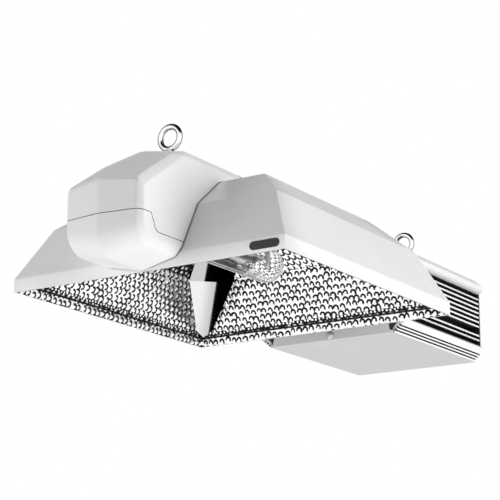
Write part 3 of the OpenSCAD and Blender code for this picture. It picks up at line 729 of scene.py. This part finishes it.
def hull_piece(name, points, material):
    """The convex hull of millimetre points, with flat faces merged."""
    bm = bmesh.new()
    for p in above_rim(points):
        bm.verts.new(p)
    bmesh.ops.convex_hull(bm, input=bm.verts)
    loose = [v for v in bm.verts if not v.link_faces]
    bmesh.ops.delete(bm, geom=loose, context="VERTS")
    bmesh.ops.dissolve_limit(bm, angle_limit=math.radians(0.8), verts=bm.verts, edges=bm.edges)
    mesh = bpy.data.meshes.new(name)
    bm.to_mesh(mesh)
    bm.free()
    piece = bpy.data.objects.new(name, mesh)
    bpy.context.scene.collection.objects.link(piece)
    piece.data.materials.append(material)
    return piece


def boolean(piece, other, operation):
    """Cuts a piece with another one."""
    m = piece.modifiers.new("cut", "BOOLEAN")
    m.object = other
    m.operation = operation
    m.solver = "EXACT"
    apply_modifiers(piece)


def prism(name, outline, half_width):
    """Solid of an outline in X and Z, from -half_width to half_width in Y."""
    n = len(outline)
    pts = [(x, -half_width, z) for x, z in outline] + [(x, half_width, z) for x, z in outline]
    faces = [tuple(range(n)), tuple(range(n, 2 * n))[::-1]]
    faces += [(i, i + n, (i + 1) % n + n, (i + 1) % n) for i in range(n)]
    mesh = bpy.data.meshes.new(name)
    mesh.from_pydata(above_rim(pts).tolist(), [], faces)
    piece = bpy.data.objects.new(name, mesh)
    bpy.context.scene.collection.objects.link(piece)
    fix_normals(piece)
    return piece


def hood_space(grow):
    """The hood's near half as a solid, a little larger than the hood."""
    line = [(-(RIM_X + grow), -40)] + [(-(x + grow), z) for x, z in wall_line(0, 0)[1:3]]
    line += [(-(TOP_X + grow), TOP_H + 0.01), (40, TOP_H + 0.01), (40, -40)]
    return prism("hood_space", line, 200)


def seam_space(gap, name):
    """Everything below the stepped seam between the shell and the lower cover."""
    corner = 7
    step_z = 21
    line = [(-230, -30), (-230, SEAM_Z - gap), (-185.5 - gap, SEAM_Z - gap)]
    for i in range(1, 5):
        t = math.pi / 2 * i / 4
        line.append((-185.5 - gap + 3 * math.sin(t), SEAM_Z - gap - 3 * (1 - math.cos(t))))
    for i in range(7):
        t = math.pi / 2 * i / 6
        line.append((-181 - gap + 1.5 + corner * (1 - math.cos(t)),
                     step_z + corner - gap - corner * math.sin(t)))
    line += [(-60, step_z - gap), (-60, -30)]
    return prism(name, line, 90)


def cap_shell(name, seam, operation, body):
    """One half of the hollow cap: what the operation with the space below the seam leaves."""
    both = [(x, s * y, z) for x, y, z in cap_points() for s in (1, -1)]
    piece = hull_piece(name, both, CAP)
    m = bevel(piece, CAP_EDGE, 5, 9)
    m.harden_normals = False
    m.loop_slide = True
    apply_modifiers(piece)
    middle = np.array([-150, 0, 52.0])
    k = 1 - CAP_WALL / np.array([55, CAP_W, 52])
    inner_pts = []
    for p in both:
        q = middle + (np.array(p) - middle) * k
        if p[0] > -101:
            q[0] = p[0] + 5
        inner_pts.append(tuple(q))
    inner = hull_piece("cap_inside", inner_pts, CAP)
    space = hood_space(SEAM_GAP)
    below = seam_space(seam, "below_seam")
    boolean(piece, inner, "DIFFERENCE")
    boolean(piece, space, "DIFFERENCE")
    boolean(piece, below, operation)
    for cutter in (inner, space, below):
        bpy.data.objects.remove(cutter)
    place(piece, CAP, body)
    sharpen(piece, 28)
    return piece


# ---- lamp ----

def lamp_pieces():
    """The lamp's glass: a thin tube with a round end, open at the base."""
    centre = (TUBE_X0, 0, LAMP_Z)
    wall = 1.3
    straight = TIP_X - TUBE_R - TUBE_X0
    turns = [math.pi / 2 * i / 16 for i in range(17)]
    outside = [(TUBE_R, 0), (TUBE_R, straight * 0.5)]
    outside += [(max(TUBE_R * math.cos(t), 0.05), straight + TUBE_R * math.sin(t)) for t in turns]
    r = TUBE_R - wall
    inside = [(max(r * math.cos(t), 0.05), straight + r * math.sin(t)) for t in turns][::-1]
    inside += [(r, straight * 0.5), (r, 0)]
    pts, faces = lathe(outside + inside + [outside[0]], 72, centre)
    glass = mesh_piece("lamp_glass_tube", pts, faces, GLASS, "lamp")
    bm = bmesh.new()
    bm.from_mesh(glass.data)
    bmesh.ops.remove_doubles(bm, verts=bm.verts, dist=1e-6)
    bmesh.ops.recalc_face_normals(bm, faces=bm.faces)
    bm.to_mesh(glass.data)
    bm.free()
    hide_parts("lamp_glass")


# ---- CAD nodes that keep their shape ----

NODE_MATERIALS = {
    HOOD: ["hood_top"],
    ZINC: ["hood_rivets", "liner_screws", "lampholder_bracket", "bracket_screws", "spine_channel",
           "spine_screws", "eye_nut_near", "eye_nut_far", "eye_washers", "lamp_frame",
           "lamp_support", "lamp_base", "plate_screws", "heat_sink_bar", "dimmer_shaft"],
    CAP: ["spine_cover"],
    CERAMIC: ["lampholder_body"],
    BRASS: ["lampholder_shell", "lampholder_contact", "lamp_contact", "board_standoffs"],
    CHROME: ["eye_bolt_near", "eye_bolt_far"],
    RUBBER: ["lead_wires", "grommets", "ballast_gaskets", "ballast_spacers"],
    ARC: ["lamp_arc_tube"],
    BALLAST: ["ballast_upper_case", "ballast_lower_case"],
    PANEL: ["ballast_base_panel", "ballast_near_plate", "ballast_far_plate"],
    BOARD: ["circuit_board", "terminal_block", "dimmer_control"],
    FERRITE: ["transformer_core"],
    WINDING: ["transformer_winding", "filter_choke"],
    SLEEVE: ["capacitors"],
    DARK: ["power_inlet", "control_ports", "dimmer_knob"],
    BADGE: ["name_plate"],
    LENS: ["status_lens"],
}


def dress_nodes():
    """Gives each CAD node that keeps its shape its material."""
    for material, names in NODE_MATERIALS.items():
        for name in names:
            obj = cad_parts[name]
            obj.data.materials.clear()
            obj.data.materials.append(material)


# ---- stage ----

# Soft boxes as a direction and a level, and how tightly each one's light is gathered
SOFT_BOXES = [((0, 1, 0), 0.75), ((0, 0, -1), 0.9), ((-1, 1, 0), 2.0), ((1, -1, 0), 0.75),
              ((0, -1, -1), 1.92), ((0, 1, 1), 0.3), ((1, 0, 1), 1.25), ((1, -1, 1), 1.73),
              ((1, -1, -1), 0.55)]
FOCUS = 4
FLOOR_HALF = 6.0
FLOOR_Z = -2.4
# What the bright metal mirrors. Each fade is the pair of cosines between which a part sets in:
# the dark wall behind the object, the dark ceiling, and the black card under the object
AWAY = (0.807, 0.532, 0.256)
WALL_FADE = (0.20, 0.45)
WALL_LEVEL = 0.8
CEILING_FADE = (0.4, 0.7)
CARD_FADE = (0.925, 0.935)
# The card's edges, where a deflector's lower and upper plate mirror it, and the greys beyond
LOW_CARD = (0.7966, -0.58823, 0.13934)
HIGH_CARD = (0.77735, -0.60522, 0.1716)
UPPER_FADE = (0.03, 0.05)
CARD_EDGE = 0.0003
LOW_GREY = 0.2
LOW_GREY_RISE = 0.25
GREY_RISE_WIDTH = 0.009
HIGH_GREY = 0.45
MIRRORED_LEVEL = 1.15


def floor_stage():
    """A pale floor well below the hanging lamp. It casts no light back on the object."""
    half, z = FLOOR_HALF, FLOOR_Z
    mesh = bpy.data.meshes.new("floor")
    mesh.from_pydata([(-half, -half, z), (half, -half, z), (half, half, z), (-half, half, z)], [],
                     [(0, 1, 2, 3)])
    floor = bpy.data.objects.new("floor", mesh)
    bpy.context.scene.collection.objects.link(floor)
    floor.data.materials.append(new_material("floor", (0.92, 0.92, 0.92), 0.9,
                                             Emission_Strength=0.62,
                                             Emission_Color=(1, 1, 1, 1))[0])
    floor.visible_glossy = False
    floor.visible_diffuse = False
    floor.visible_shadow = False
    bpy.context.scene.view_settings.view_transform = "Standard"


def facing(tree, direction, toward, low, high):
    """0 to 1 as a ray's direction turns towards the given one, between two cosines."""
    dot = node(tree, "ShaderNodeVectorMath", operation="DOT_PRODUCT")
    dot.inputs[1].default_value = toward
    tree.links.new(direction, dot.inputs[0])
    step = node(tree, "ShaderNodeMapRange", interpolation_type="SMOOTHSTEP")
    step.inputs["From Min"].default_value = low
    step.inputs["From Max"].default_value = high
    tree.links.new(dot.outputs["Value"], step.inputs["Value"])
    return step.outputs[0]


def math_node(tree, operation, a, b):
    """Result of a sum on two numbers or sockets."""
    n = node(tree, "ShaderNodeMath", operation=operation)
    for socket, value in zip(n.inputs, (a, b)):
        if isinstance(value, (int, float)):
            socket.default_value = value
        else:
            tree.links.new(value, socket)
    return n.outputs[0]


def mixed(tree, factor, low, high):
    """low where factor is 0 and high where it is 1."""
    return math_node(tree, "ADD",
                     math_node(tree, "MULTIPLY", low, math_node(tree, "SUBTRACT", 1.0, factor)),
                     math_node(tree, "MULTIPLY", high, factor))


def soft_box(tree, direction, toward, level):
    """Level times the cosine from the soft box's middle, raised to the power FOCUS."""
    dot = node(tree, "ShaderNodeVectorMath", operation="DOT_PRODUCT")
    dot.inputs[1].default_value = Vector(toward).normalized()
    tree.links.new(direction, dot.inputs[0])
    cosine = math_node(tree, "MAXIMUM", dot.outputs["Value"], 0.0)
    return math_node(tree, "MULTIPLY", math_node(tree, "POWER", cosine, FOCUS), level)


def background(tree, strength):
    """White light of a strength."""
    n = node(tree, "ShaderNodeBackground")
    n.inputs["Color"].default_value = (1, 1, 1, 1)
    if isinstance(strength, (int, float)):
        n.inputs["Strength"].default_value = strength
    else:
        tree.links.new(strength, n.inputs["Strength"])
    return n.outputs[0]


def lighting():
    """Soft light from the soft boxes. What the bright metal mirrors is a white studio with a dark
    wall behind the object, a dark ceiling, and a black card with a grey rim under it."""
    world = bpy.data.worlds.new("studio")
    bpy.context.scene.world = world
    world.use_nodes = True
    tree = world.node_tree
    tree.nodes.clear()
    out = node(tree, "ShaderNodeOutputWorld")
    direction = node(tree, "ShaderNodeTexCoord").outputs["Generated"]

    soft = 0.0
    for toward, level in SOFT_BOXES:
        soft = math_node(tree, "ADD", soft, soft_box(tree, direction, toward, level))

    wall = math_node(tree, "MULTIPLY", facing(tree, direction, AWAY, *WALL_FADE), WALL_LEVEL)
    ceiling = facing(tree, direction, (0, 0, 1), *CEILING_FADE)
    below = facing(tree, direction, (0, 0, -1), *CARD_FADE)
    upper = facing(tree, direction, (1, 0, 0), *UPPER_FADE)
    card = mixed(tree, upper, facing(tree, direction, LOW_CARD, -CARD_EDGE, CARD_EDGE),
                 facing(tree, direction, HIGH_CARD, -CARD_EDGE, CARD_EDGE))
    low_rise = facing(tree, direction, LOW_CARD, -GREY_RISE_WIDTH, 0.0)
    low_grey = math_node(tree, "ADD", math_node(tree, "MULTIPLY", LOW_GREY_RISE, low_rise),
                         LOW_GREY)
    grey = mixed(tree, upper, low_grey, HIGH_GREY)
    mirrored = MIRRORED_LEVEL
    for dark in (wall, ceiling, math_node(tree, "MULTIPLY", below, card),
                 math_node(tree, "MULTIPLY", below, grey)):
        mirrored = math_node(tree, "MULTIPLY", mirrored, math_node(tree, "SUBTRACT", 1.0, dark))

    path = node(tree, "ShaderNodeLightPath")
    shader = background(tree, soft)
    for ray, level in (("Is Glossy Ray", mirrored), ("Is Camera Ray", 1.0)):
        mix = node(tree, "ShaderNodeMixShader")
        tree.links.new(path.outputs[ray], mix.inputs["Fac"])
        tree.links.new(shader, mix.inputs[1])
        tree.links.new(background(tree, level), mix.inputs[2])
        shader = mix.outputs[0]
    tree.links.new(shader, out.inputs["Surface"])


CAMERA_AT = (-1.2490, -0.8367, -0.4513)
CAMERA_LOOK = (0.80705, 0.53225, 0.25569)
CAMERA_ROLL = 0.17
CAMERA_LENS = 123.5


def camera():
    """The main view: from low down on the lampholder's side, looking up into the hood."""
    data = bpy.data.cameras.new("camera")
    data.lens = CAMERA_LENS
    data.sensor_width = 36
    data.clip_end = 100
    cam = bpy.data.objects.new("camera", data)
    bpy.context.scene.collection.objects.link(cam)
    cam.location = CAMERA_AT
    cam.rotation_euler = Vector(CAMERA_LOOK).to_track_quat("-Z", "Y").to_euler()
    cam.rotation_euler.rotate_axis("Z", math.radians(CAMERA_ROLL))
    bpy.context.scene.camera = cam


camera()
floor_stage()
lighting()
dress_nodes()
for side_name in SIDES:
    hood_panel(side_name)
for number, side_name in enumerate(SIDES):
    liner_panel(side_name, SIDE_SEED + number)
liner_top()
deflectors()
upper = cap_shell("cap_shell_upper", 0, "DIFFERENCE", "fixture")
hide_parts("cap_upper_shell")
lower = cap_shell("cap_cover_lower", SEAM_GAP, "INTERSECT", "cap_cover")
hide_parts("cap_lower_cover")
lamp_pieces()
